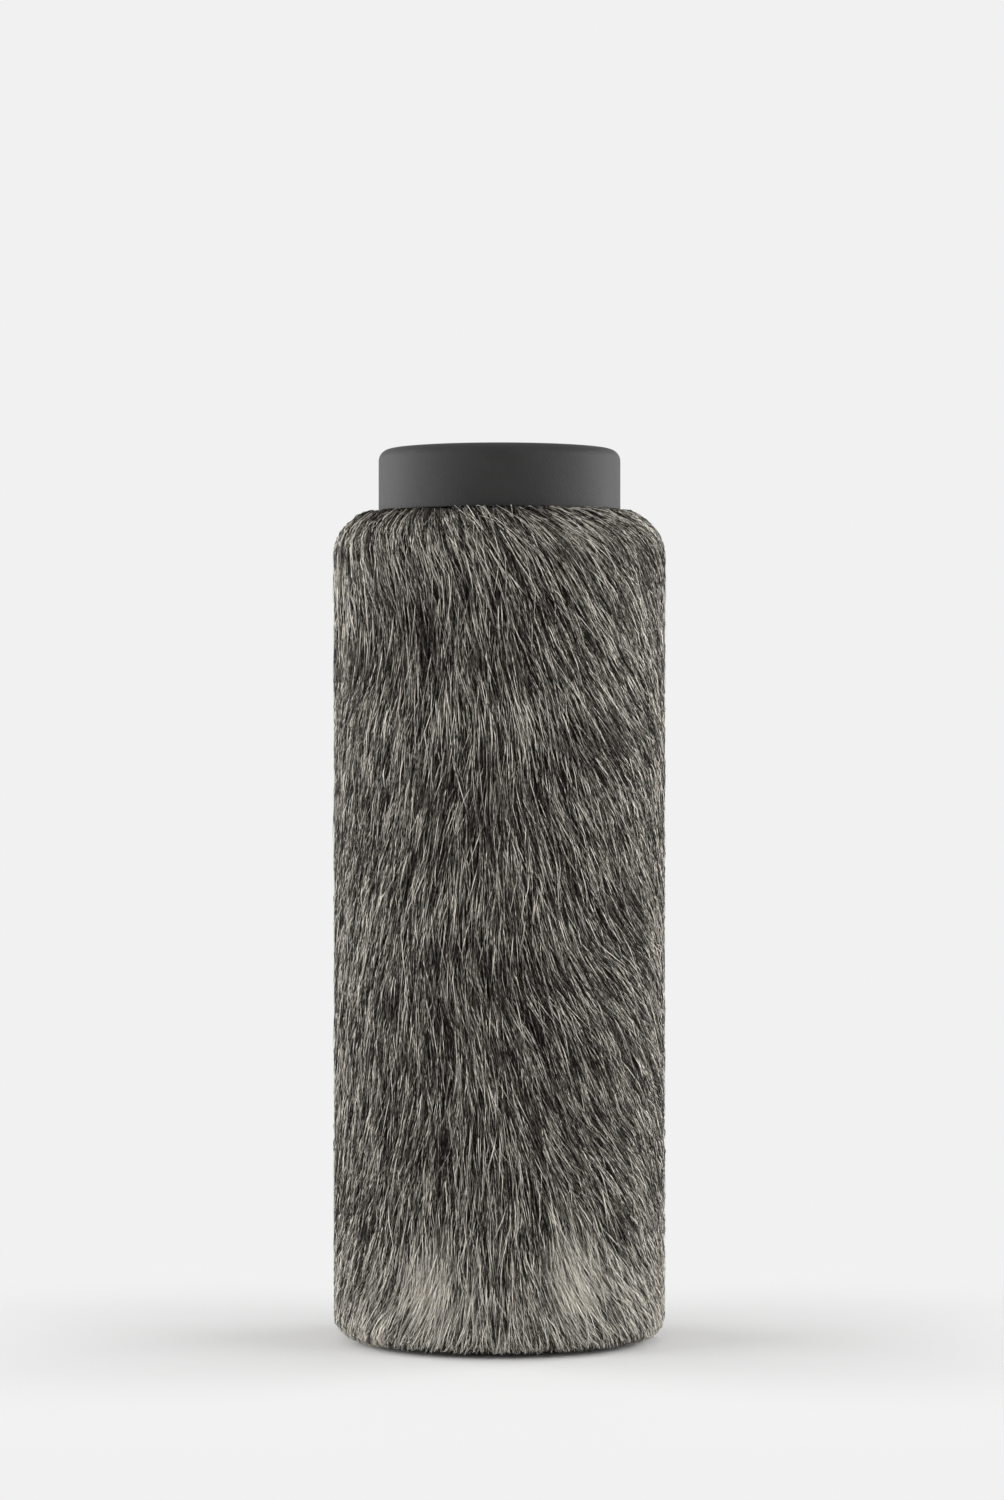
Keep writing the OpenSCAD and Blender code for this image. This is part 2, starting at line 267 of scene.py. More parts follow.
class StageSettings(bpy.types.PropertyGroup):
    """The floor, the lamps and the camera"""
    floor: colour_setting("Floor", "Colour of the floor", (0.80, 0.80, 0.80))
    backdrop: colour_setting(
        "Backdrop", "Colour of the backdrop and the far floor", (0.88, 0.88, 0.88))
    side_power: stage_setting("Side lamps", "Power of each of the four low lamps", 5.2, "POWER")
    top_power: stage_setting("Top lamp", "Power of the broad lamp overhead", 3.5, "POWER")
    sky: stage_setting("Sky", "Strength of the even light from all round", 0.38)
    distance: stage_setting(
        "Distance", "From the camera to the microphone bore", 1.15, "LENGTH")
    height: stage_setting("Height", "Height of the level camera", 0.151, "LENGTH")
    lens: stage_setting("Lens", "Focal length in millimetres", 107.6)


# ---- Node materials ----

def blank_material(name, colour, roughness):
    """A material, its node tree, and its one Principled shader."""
    material = bpy.data.materials.new(name)
    material.use_nodes = True
    shader = material.node_tree.nodes["Principled BSDF"]
    shader.inputs["Base Color"].default_value = (*colour, 1)
    shader.inputs["Roughness"].default_value = roughness
    return material, material.node_tree, shader


def add_node(tree, kind, inputs=(), **settings):
    """Adds a shader node, gives it settings, and sets or links its inputs by name or number."""
    made = tree.nodes.new("ShaderNode" + kind)
    for key, value in settings.items():
        setattr(made, key, value)
    for key, value in dict(inputs).items():
        if isinstance(value, bpy.types.NodeSocket):
            tree.links.new(value, made.inputs[key])
        else:
            made.inputs[key].default_value = value
    return made


def maths(tree, operation, *values):
    """The result of a Math node."""
    return add_node(tree, "Math", dict(enumerate(values)), operation=operation
                    ).outputs["Value"]


def backdrop_rays(tree):
    """1 for the rays by which the camera, a gloss or a clear part sees the backdrop, else 0."""
    kind = add_node(tree, "LightPath").outputs
    return maths(tree, "MAXIMUM", kind["Is Camera Ray"],
                 maths(tree, "MAXIMUM", kind["Is Glossy Ray"], kind["Is Transmission Ray"]))


def seen_as(tree, share, surface, kind, colour):
    """A shader that turns, by a share, into the backdrop's even light."""
    light = add_node(tree, kind, {"Strength": 1.0, "Color": (*colour, 1)})
    return add_node(tree, "MixShader",
                    {0: share, 1: surface, 2: light.outputs[0]}).outputs["Shader"]


def object_coords(tree, scale=(1, 1, 1)):
    """Object coordinates, scaled along each axis."""
    coords = add_node(tree, "TexCoord")
    return add_node(tree, "Mapping",
                    {"Vector": coords.outputs["Object"], "Scale": scale}).outputs["Vector"]


def map_coords(tree, uv_map):
    """A UV map's two coordinates."""
    place = add_node(tree, "UVMap", uv_map=uv_map)
    split = add_node(tree, "SeparateXYZ", {"Vector": place.outputs["UV"]})
    return split.outputs["X"], split.outputs["Y"]


def noise_at(tree, vector, size, detail=2.0):
    """Noise with features of about a size in metres."""
    return add_node(tree, "TexNoise",
                    {"Vector": vector, "Scale": 1 / size, "Detail": detail}).outputs["Fac"]


def colour_ramp(tree, factor, stops):
    """A ramp through (place, colour) stops."""
    ramp = add_node(tree, "ValToRGB", {"Fac": factor})
    elements = ramp.color_ramp.elements
    while len(elements) < len(stops):
        elements.new(0.5)
    for element, (place, colour) in zip(elements, stops):
        element.position = place
        element.color = (*colour, 1)
    return ramp.outputs["Color"]


def times(tree, colour_a, colour_b):
    """Two colours multiplied."""
    return add_node(tree, "Mix", {"Factor": 1.0, 6: colour_a, 7: colour_b},
                    data_type="RGBA", blend_type="MULTIPLY").outputs[2]


def surfaced(tree, shader, factor, stops, height, distance):
    """Gives the shader a colour ramp, and bumps by a height that stands for a distance."""
    tree.links.new(colour_ramp(tree, factor, stops), shader.inputs["Base Color"])
    bump = add_node(tree, "Bump",
                    {"Height": height, "Distance": distance, "Strength": 1.0})
    tree.links.new(bump.outputs["Normal"], shader.inputs["Normal"])


def mixed(colour_a, colour_b, share):
    """The first colour with a share of the second."""
    return tuple(a + (b - a) * share for a, b in zip(colour_a, colour_b))


def hair_material(pile):
    """Grey hair. Across the hair map runs the tone, dark to pale, and up it the way to the tip."""
    material, tree, shader = blank_material("Grey hair", pile.grey, 0.36)
    across, to_tip = map_coords(tree, HAIR_MAP)
    dark, grey, pale = (tuple(c) for c in (pile.dark, pile.grey, pile.pale))
    tone = colour_ramp(tree, across, [
        (0.0, dark), (0.25, mixed(dark, grey, 0.20)), (0.50, mixed(dark, grey, 0.85)),
        (0.75, mixed(grey, pale, 0.30)), (0.90, mixed(grey, pale, 0.85)), (1.0, pale)])
    # Darker towards the root: partly the hair's own darker base, partly painted shade deep among
    # the other hairs.
    dark_root_and_shade = colour_ramp(tree, to_tip, [
        (0.0, (0.40, 0.39, 0.38)), (0.45, (0.80, 0.79, 0.78)), (0.85, (1.0, 1.0, 1.0)),
        (1.0, (0.90, 0.90, 0.91))])
    # Painted glints: the base colour brightens and darkens along the hair as painted highlights,
    # out of step from tone to tone. The palest hairs are painted bright nearly all along.
    place = add_node(tree, "CombineXYZ",
                     {"X": maths(tree, "MULTIPLY", across, 2.0 * TONES),
                      "Y": maths(tree, "MULTIPLY", to_tip, 8.0)}).outputs["Vector"]
    phase = maths(tree, "MULTIPLY", noise_at(tree, place, 1.0), 14.0)
    wave = maths(tree, "SINE", maths(tree, "MULTIPLY_ADD", to_tip, 40.0, phase))
    palest = maths(tree, "GREATER_THAN", across, 1 - 1 / TONES)
    wave = maths(tree, "MAXIMUM", wave, maths(tree, "MULTIPLY_ADD", palest, 1.6, -1.0))
    glints = colour_ramp(tree, maths(tree, "MULTIPLY_ADD", wave, 0.5, 0.5), [
        (0.10, (0.27, 0.265, 0.25)), (0.55, (0.78, 0.775, 0.76)), (0.90, (1.05, 1.05, 1.05))])
    tree.links.new(times(tree, times(tree, tone, dark_root_and_shade), glints), shader.inputs["Base Color"])
    shader.inputs["Specular IOR Level"].default_value = 0.14
    return material


def underfur_material(pile):
    """Dense dark pile with fine streaks down it."""
    material, tree, shader = blank_material("Underfur", pile.underfur, 0.9)
    streaks = noise_at(tree, object_coords(tree, (1, 1, 0.12)), 1.1 * MM, 3.0)
    surfaced(tree, shader, streaks, [
        (0.35, mixed(pile.underfur, BLACK, 0.5)), (0.65, mixed(pile.underfur, pile.grey, 0.35))],
        streaks, 0.4 * MM)
    return material


def foam_material(foam):
    """Open-cell foam: pores painted dark, as painted shade in the holes, between paler struts."""
    material, tree, shader = blank_material("Foam", foam.colour, 0.95)
    coords = object_coords(tree)
    wobble = add_node(tree, "TexNoise",
                      {"Vector": coords, "Scale": 0.6 / foam.pore, "Detail": 1.0})
    shifted = add_node(tree, "VectorMath",
                       {0: wobble.outputs["Color"], 1: (0.5 * foam.pore,) * 3, 2: coords},
                       operation="MULTIPLY_ADD").outputs["Vector"]
    pores = add_node(tree, "TexVoronoi",
                     {"Vector": shifted, "Scale": 1 / foam.pore, "Randomness": 0.9},
                     feature="SMOOTH_F1").outputs["Distance"]
    # The pores' middles are painted near black, as painted shade in the holes.
    surfaced(tree, shader, pores, [
        (0.15, mixed(foam.colour, BLACK, 0.85)), (0.42, foam.colour),
        (0.65, mixed(foam.colour, GREY, 0.22))], pores, 0.6 * foam.pore)
    return material


def knit_material(cloth):
    """Jersey knit: columns of V-shaped loops up the cloth."""
    material, tree, shader = blank_material("Knitted cloth", cloth.cloth, 0.92)
    around, along = map_coords(tree, WEAVE_MAP)
    wale = maths(tree, "DIVIDE", around, cloth.wale)
    off_middle = maths(tree, "PINGPONG", wale, 0.5)
    course = maths(tree, "MULTIPLY_ADD", along, 1 / (0.75 * cloth.wale), off_middle)
    leg = maths(tree, "SINE", maths(tree, "MULTIPLY", off_middle, TURN))
    loop = maths(tree, "ABSOLUTE", maths(tree, "SINE", maths(tree, "MULTIPLY", course, math.pi)))
    height = maths(tree, "MULTIPLY", leg, loop)
    fibres = noise_at(tree, object_coords(tree), 0.25 * MM, 4.0)
    fuzzy = maths(tree, "MULTIPLY_ADD", fibres, 0.5, height)
    # The colour follows the loops' height: darker where they dip, as painted shade, and paler on
    # their crowns, as a faint painted highlight; the fibres add tone at random.
    surfaced(tree, shader, fuzzy, [
        (0.25, mixed(cloth.cloth, BLACK, 0.65)), (0.85, cloth.cloth),
        (1.0, mixed(cloth.cloth, (0.4, 0.4, 0.38), 0.15))], fuzzy, 0.25 * MM)
    shader.inputs["Sheen Weight"].default_value = 0.3
    return material


def tape_material(cloth):
    """Plain woven tape with a firm edge."""
    material, tree, shader = blank_material("Woven tape", cloth.tape, 0.8)
    around, along = map_coords(tree, WEAVE_MAP)
    pitch = 0.45 * MM
    warp = maths(tree, "MULTIPLY", around, math.pi / pitch)
    weft = maths(tree, "MULTIPLY", along, math.pi / pitch)
    over = maths(tree, "MULTIPLY", maths(tree, "SINE", warp), maths(tree, "SINE", weft))
    height = maths(tree, "ABSOLUTE", over)
    side = maths(tree, "GREATER_THAN", over, 0.0)
    fibres = noise_at(tree, object_coords(tree), 0.2 * MM, 3.0)
    fuzzy = maths(tree, "MULTIPLY_ADD", fibres, 0.3, height)
    rise = maths(tree, "MULTIPLY_ADD", side, 0.25, fuzzy)
    # The colour follows the weave's height: darker between the threads and where they pass under,
    # as painted shade, and paler on their crowns, as a faint painted highlight.
    surfaced(tree, shader, rise, [
        (0.1, mixed(cloth.tape, BLACK, 0.6)), (0.8, cloth.tape),
        (1.0, mixed(cloth.tape, (0.4, 0.4, 0.4), 0.12))], rise, 0.12 * MM)
    return material


def thread_material(cloth):
    """Spun thread with loose fibres."""
    material, tree, shader = blank_material("Sewing thread", cloth.thread, 0.75)
    fibres = noise_at(tree, object_coords(tree), 0.12 * MM, 3.0)
    surfaced(tree, shader, fibres, [
        (0.3, mixed(cloth.thread, BLACK, 0.45)), (0.7, cloth.thread)], fibres, 0.05 * MM)
    return material


def moulded_material(name, colour, roughness, specular, grain, relief):
    """Moulded rubber or plastic with a faint bloom, and an eroded grain of a size and height."""
    material, tree, shader = blank_material(name, colour, roughness)
    coords = object_coords(tree)
    cloud = noise_at(tree, coords, 17 * MM, 4.0)
    surfaced(tree, shader, cloud, [
        (0.35, mixed(colour, BLACK, 0.15)), (0.70, mixed(colour, GREY, 0.03))],
        noise_at(tree, coords, grain), relief)
    rough = add_node(tree, "MapRange",
                     {"Value": cloud, "To Min": roughness - 0.06, "To Max": roughness + 0.08})
    tree.links.new(rough.outputs["Result"], shader.inputs["Roughness"])
    shader.inputs["Specular IOR Level"].default_value = specular
    return material


def give_material(obj, material):
    """Dresses an object all over in one material."""
    obj.data.materials.clear()
    obj.data.materials.append(material)


def finish_piece(piece, material, node):
    """Gives a piece its material, hangs it on the root, and hides the solid that it stands for."""
    give_material(piece, material)
    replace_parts(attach(piece, "root"), node)


# ---- Modelling helpers ----

def started(add_primitive, **sizes):
    """A primitive, selected alone, with its place put into its mesh."""
    bpy.ops.object.select_all(action="DESELECT")
    add_primitive(**sizes)
    bpy.ops.object.transform_apply(location=True, rotation=True, scale=True)
    return bpy.context.object


def cut_across(normal, places):
    """In edit mode, cuts the whole mesh at places along a normal."""
    for place in places:
        bpy.ops.mesh.select_all(action="SELECT")
        bpy.ops.mesh.bisect(plane_co=place * Vector(normal), plane_no=normal)


def chosen(kind, test):
    """In edit mode, selects the edges or faces that pass a test, and nothing else."""
    bpy.ops.mesh.select_mode(type=kind)
    bpy.ops.mesh.select_all(action="DESELECT")
    mesh = bmesh.from_edit_mesh(bpy.context.edit_object.data)
    for part in mesh.faces if kind == "FACE" else mesh.edges:
        part.select = test(part)
    return mesh


def outwards():
    """Turns every face outwards, and leaves edit mode."""
    bpy.ops.mesh.select_all(action="SELECT")
    bpy.ops.mesh.normals_make_consistent(inside=False)
    bpy.ops.object.mode_set(mode="OBJECT")


def linked(data):
    """A new object in the scene that holds a mesh, a lamp or a camera, and has its name."""
    obj = bpy.data.objects.new(data.name, data)
    bpy.context.scene.collection.objects.link(obj)
    return obj


def lathe(name, profile, segments, closed=True):
    """A turned form: a circle extruded from point to point of its section, (radius, height).

    A closed section makes a ring, and an open one a disc whose middles are filled. Its weave map
    counts metres round the form, at its greatest radius, and metres along the section."""
    radius, height = profile[0]
    obj = started(bpy.ops.mesh.primitive_circle_add, vertices=segments, radius=radius,
                  location=(0, 0, height), rotation=(0, 0, math.pi / segments))
    obj.name = obj.data.name = name
    bpy.ops.object.mode_set(mode="EDIT")
    bpy.ops.mesh.select_mode(type="EDGE")
    bpy.ops.mesh.select_all(action="SELECT")
    for radius_next, height_next in profile[1:]:
        bpy.ops.mesh.extrude_edges_move(
            TRANSFORM_OT_translate={"value": (0, 0, height_next - height)})
        wider = radius_next / radius
        bpy.ops.transform.resize(value=(wider, wider, 1), center_override=(0, 0, height_next))
        radius, height = radius_next, height_next
    chosen("EDGE", lambda edge: edge.is_boundary)
    if closed:
        bpy.ops.mesh.bridge_edge_loops()
    else:
        bpy.ops.mesh.fill_holes(sides=0)
    outwards()
    bpy.ops.object.shade_smooth_by_angle(angle=math.radians(40))
    add_weave_map(obj, profile, segments)
    return obj


def add_weave_map(obj, profile, segments):
    """Gives a turned form its weave map."""
    points = np.array(profile)
    steps = np.linalg.norm(np.diff(points, axis=0, append=points[:1]), axis=1)
    along = np.concatenate([[0], np.cumsum(steps)])
    round_length = TURN * points[:, 0].max()
    weave = obj.data.uv_layers.new(name=WEAVE_MAP)
    for face in obj.data.polygons:
        turns = [math.atan2(obj.data.vertices[v].co.x, -obj.data.vertices[v].co.y) / TURN
                 for v in face.vertices]
        if max(turns) - min(turns) > 0.5 and len(turns) == 4:
            turns = [turn + (turn < 0) for turn in turns]
        rings = [v // segments for v in face.vertices]
        closing = max(rings) - min(rings) > 1
        for loop, turn, ring in zip(face.loop_indices, turns, rings):
            ring = len(profile) if closing and ring == 0 else ring
            weave.uv[loop].vector = (turn * round_length, along[ring])


def rounded(profile, radius, corners, steps=3):
    """A section with an arc at each chosen corner."""
    out = []
    for i, point in enumerate(profile):
        point = Vector(point)
        if i not in corners:
            out.append(tuple(point))
            continue
        before = (Vector(profile[i - 1]) - point).normalized() * radius
        after = (Vector(profile[(i + 1) % len(profile)]) - point).normalized() * radius
        for step in range(steps + 1):
            t = step / steps
            out.append(tuple(point + (1 - t) ** 2 * before + t ** 2 * after))
    return out


def filled_in(profile, longest):
    """A section with more points along its long runs."""
    out = []
    for a, b in zip(profile, profile[1:] + profile[:1]):
        a, b = Vector(a), Vector(b)
        parts = max(1, math.ceil((b - a).length / longest))
        out += [tuple(a.lerp(b, i / parts)) for i in range(parts)]
    return out


def move_vertices(obj, mover):
    """Moves each vertex to where mover puts it."""
    for vertex in obj.data.vertices:
        vertex.co = mover(vertex.co.copy())
    obj.data.update()


def at_radius(point, radius):
    """A point moved straight in or out to a radius about Z."""
    share = radius / math.hypot(point.x, point.y)
    return Vector((point.x * share, point.y * share, point.z))


def pushed_out(point, radius):
    """A point moved straight out from Z, to at least a radius."""
    return at_radius(point, max(radius, math.hypot(point.x, point.y)))


def half_turned(angle):
    """The same angle, from half a turn back to half a turn on."""
    return (angle + math.pi) % TURN - math.pi


def eased(value, low, high):
    """0 below low, 1 above high, and a smooth rise between."""
    share = np.clip((value - low) / (high - low), 0, 1)
    return share * share * (3 - 2 * share)


# ---- The pile's surface ----

class PileSurface:
    """The pile's outer surface as one line from under the collar, over the shoulder, down the side
    and in under the nose. A place on it is a distance down that line and an angle about Z."""

    def __init__(self):
        top, low, side = FUR_HIGH.z, FUR_LOW.z, FUR_HIGH.x
        turn = np.linspace(0, math.pi / 2, 24)
        line = np.concatenate([
            [[COLLAR_START, top]],
            np.stack([side - SHOULDER + SHOULDER * np.sin(turn),
                      top - SHOULDER + SHOULDER * np.cos(turn)], 1),
            np.stack([side - EDGE + EDGE * np.cos(turn), low + EDGE - EDGE * np.sin(turn)], 1),
            [[REACH_IN, low]]])
        lengths = np.concatenate([[0], np.cumsum(np.linalg.norm(np.diff(line, axis=0), axis=1))])
        self.length = lengths[-1]
        self.steps = np.linspace(0, self.length, 1600)
        self.radius = np.interp(self.steps, lengths, line[:, 0])
        self.height = np.interp(self.steps, lengths, line[:, 1])
        along = np.stack([np.gradient(self.radius), np.gradient(self.height)], 1)
        along /= np.linalg.norm(along, axis=1, keepdims=True)
        self.out_r, self.out_z = -along[:, 1], along[:, 0]
        self.last_root = self.length - (LAST_ROOTS - REACH_IN)
        rooted = self.steps <= self.last_root
        area = np.cumsum(self.radius * rooted)
        self.share = (area - area[0]) / (area[-1] - area[0])
        self.area_m2 = float(TURN * self.radius[rooted].mean() * self.last_root)

    def read(self, values, down):
        """One of the surface's lists, such as its radii, read at distances down."""
        return np.interp(down, self.steps, values)

    def down_for_share(self, share):
        """The distance down that leaves a share of the rooted surface above it."""
        return np.interp(share, self.share, self.steps)

    def swell(self, down):
        """How far the hairs stand above the surface round the collar."""
        radius = self.read(self.radius, down)
        ring = eased(radius, *SWELL_RISE) * (1 - eased(radius, *SWELL_FALL))
        return SWELL * ring * (down < SHOULDER_END)

    def place(self, down, angle, depth):
        """Points at a depth below the surface, and the surface's outward directions there."""
        out_r, out_z = self.read(self.out_r, down), self.read(self.out_z, down)
        radius = self.read(self.radius, down) - out_r * depth
        height = self.read(self.height, down) - out_z * depth
        sin, cos = np.sin(angle), np.cos(angle)
        points = np.stack([radius * sin, -radius * cos, height], -1)
        outward = np.stack([out_r * sin, -out_r * cos, out_z], -1)
        return points, outward


class Ripples:
    """A smooth random field over the pile, from -1 to 1 or so: waves that run round it a whole
    number of times and down it by an angle per metre."""

    def __init__(self, draws, waves, around, down):
        self.around = draws.integers(around[0], around[1] + 1, waves)
        self.down = draws.uniform(down[0], down[1], waves) * draws.choice([-1, 1], waves)
        self.start = draws.uniform(0, TURN, waves)

    def __call__(self, down, angle):
        total = 0.0
        for around, per_metre, start in zip(self.around, self.down, self.start):
            total = total + np.sin(around * angle + per_metre * down + start)
        return total / math.sqrt(len(self.around))


# ---- Hairs ----

class Hair:
    """One hair of unit length and width, modelled as a three-sided cone cut into rings."""

    def __init__(self, cuts):
        cone = started(bpy.ops.mesh.primitive_cone_add, vertices=3, radius1=1, radius2=0,
                       depth=1, location=(0, 0, 0.5))
        bpy.ops.object.mode_set(mode="EDIT")
        cut_across((0, 0, 1), cuts)
        bpy.ops.mesh.select_all(action="SELECT")
        bpy.ops.mesh.quads_convert_to_tris()
        bpy.ops.object.mode_set(mode="OBJECT")
        points = np.array([v.co[:] for v in cone.data.vertices])
        self.triangles = np.array([p.vertices[:] for p in cone.data.polygons])
        self.ways = np.array([0.0, *cuts, 1.0])
        self.height = points[:, 2]
        self.ring = np.abs(self.height[:, None] - self.ways[None]).argmin(1)
        self.angle = np.arctan2(points[:, 1], points[:, 0])
        self.turn = self.round_turns()
        bpy.data.meshes.remove(cone.data)

    def round_turns(self):
        """How far round the hair each corner of each triangle is, from 0 to 1."""
        turn = np.round(self.angle / TURN * 3) / 3
        at_tip = self.height > 1 - 1e-4
        corners = turn[self.triangles]
        for vertices, row in zip(self.triangles, corners):
            sides = ~at_tip[vertices]
            if np.ptp(row[sides]) > 0.5:
                row[sides] = np.where(row[sides] < 0, row[sides] + 1, row[sides])
            row[at_tip[vertices]] = row[sides].mean()
        return corners - turn.min()

    def copies(self, lines, outward, widths, tone, roll):
        """A copy bent along each line: all their points, triangles and places on the hair map.

        lines and outward are (hairs, stations, 3), widths (hairs, stations), and tone and roll
        (hairs,)."""
        hairs = len(lines)
        along = np.gradient(lines, axis=1)
        along /= np.linalg.norm(along, axis=2, keepdims=True)
        across = np.cross(along, outward)
        across /= np.linalg.norm(across, axis=2, keepdims=True)
        up = np.cross(along, across)
        turn = self.angle[None] + roll[:, None]
        reach = widths[:, self.ring][..., None] / 2
        points = (lines[:, self.ring] + reach * (np.cos(turn)[..., None] * across[:, self.ring]
                                                 + np.sin(turn)[..., None] * up[:, self.ring]))
        corners = self.triangles[None] + (np.arange(hairs) * len(self.height))[:, None, None]
        column = (np.floor(np.clip(tone, 0, 0.999) * TONES) + 0.15)[:, None, None]
        places = np.stack([
            (column + 0.7 * self.turn[None]) / TONES,
            np.broadcast_to(self.height[self.triangles][None], (hairs, *self.triangles.shape))], -1)
        return points.reshape(-1, 3), corners.reshape(-1, 3), places.reshape(-1, 2)


def hair_piece(name, groups, material):
    """One piece made of groups of hair copies."""
    points, corners, places = zip(*groups)
    starts = np.cumsum([0, *map(len, points)])
    corners = np.concatenate([part + start for part, start in zip(corners, starts)])
    points, places = np.concatenate(points), np.concatenate(places)
    mesh = bpy.data.meshes.new(name)
    mesh.vertices.add(len(points))
    mesh.vertices.foreach_set("co", points.astype(np.float32).ravel())
    mesh.loops.add(corners.size)
    mesh.loops.foreach_set("vertex_index", corners.astype(np.int32).ravel())
    mesh.polygons.add(len(corners))
    mesh.polygons.foreach_set("loop_start", np.arange(0, corners.size, 3, dtype=np.int32))
    mesh.polygons.foreach_set("use_smooth", np.ones(len(corners), bool))
    mesh.update(calc_edges=True)
    mesh.uv_layers.new(name=HAIR_MAP).uv.foreach_set("vector", places.astype(np.float32).ravel())
    piece = linked(mesh)
    give_material(piece, material)
    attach(piece, "root")


def combing(surface, ripples):
    """How the pile was combed: at a place, the angle by which hairs lean off straight down."""
    def lean(down, angle):
        height = surface.read(surface.height, down)
        side, front = np.sin(angle), 0.5 + 0.5 * np.cos(angle)
        near_collar = eased(height, *COLLAR_COMB)
        near_nose = 1 - eased(height, *NOSE_COMB)
        between = (1 - near_collar) * (1 - near_nose)
        wave = np.cos(TURN * (height - WAVE_TOP) / WAVE_LENGTH)
        sideways = np.where(side > 0, LEAN_RIGHT + LEAN_FRONT * front, LEAN_LEFT)
        return (LEAN + sideways * side
                + near_collar * (LEAN_COLLAR[0] + LEAN_COLLAR[1] * side)
                + near_nose * (LEAN_NOSE[0] + LEAN_NOSE[1] * side)
                + between * front * LEAN_WAVE * wave
                + LEAN_RIPPLES * ripples(down, angle))
    return lean


def comb(surface, lean, down, angle, length, ways, bias):
    """Follows the combing from roots to tips: distances down and angles at each station."""
    downs, turns = [down], [angle]
    for way in np.diff(ways):
        step = length * way
        slant = lean(down, angle) + bias
        half = down + 0.5 * step * np.cos(slant)
        half_turn = angle + 0.5 * step * np.sin(slant) / surface.read(surface.radius, down)
        slant = lean(half, half_turn) + bias
        down = np.clip(down + step * np.cos(slant), 0, surface.length)
        angle = angle + step * np.sin(slant) / surface.read(surface.radius, half)
        downs.append(down)
        turns.append(angle)
    return np.stack(downs, 1), np.stack(turns, 1)


def pale_tufts(surface, down, angle):
    """1 in the middle of either pale tuft near the nose, and 0 away from them."""
    height = surface.read(surface.height, down)
    total = 0.0
    for turn, rise in TUFTS:
        aside = half_turned(angle - turn)
        total = total + np.exp(-(aside / TUFT_ANGLE) ** 2 - ((height - rise) / TUFT_HEIGHT) ** 2)
    return total


class Lay:
    """The lay of the sleeve's pile: its surface, its combing, its streaks and patches, and its
    locks, which are spread evenly. Each hair belongs to the lock that its root is nearest."""

    def __init__(self, pile, draws):
        self.pile, self.surface = pile, PileSurface()
        self.lean = combing(self.surface, Ripples(draws, waves=10, around=(1, 5), down=(60, 170)))
        self.streaks = Ripples(draws, waves=24, around=(24, 60), down=(40, 160))
        self.patches = Ripples(draws, waves=10, around=(2, 7), down=(50, 160))
        count = int(self.surface.area_m2 / pile.lock ** 2)
        down = self.surface.down_for_share((np.arange(count) + 0.5) / count)
        down = down + draws.normal(0, 0.2 * pile.lock, count)
        self.lock_down = np.clip(down, 0, self.surface.length)
        self.lock_angle = (TURN * np.arange(count) * LOCK_STEP) % TURN
        self.lock_bias = draws.normal(0, 0.07, count)
        self.lock_tone = draws.normal(0, 0.06, count)
        self.lock_sink = np.abs(draws.normal(0, 0.5 * MM, count))
        self.tree = KDTree(count)
        for i, point in enumerate(self.surface.place(self.lock_down, self.lock_angle, 0)[0]):
            self.tree.insert(point, i)
        self.tree.balance()

    def locks_at(self, down, angle):
        """The lock that each place belongs to."""
        points, _ = self.surface.place(down, angle, 0)
        return np.array([self.tree.find(point)[1] for point in points])

    def off_lock(self, lock, down, angle):
        """The angle from the combed line through the middle of each place's lock to the place,
        but not more than two locks' widths of it."""
        radius = self.surface.read(self.surface.radius, down)
        aside = half_turned(angle - self.lock_angle[lock] - np.tan(self.lean(down, angle))
                            * (down - self.lock_down[lock]) / radius)
        return np.clip(aside, -2 * self.pile.lock / radius, 2 * self.pile.lock / radius)


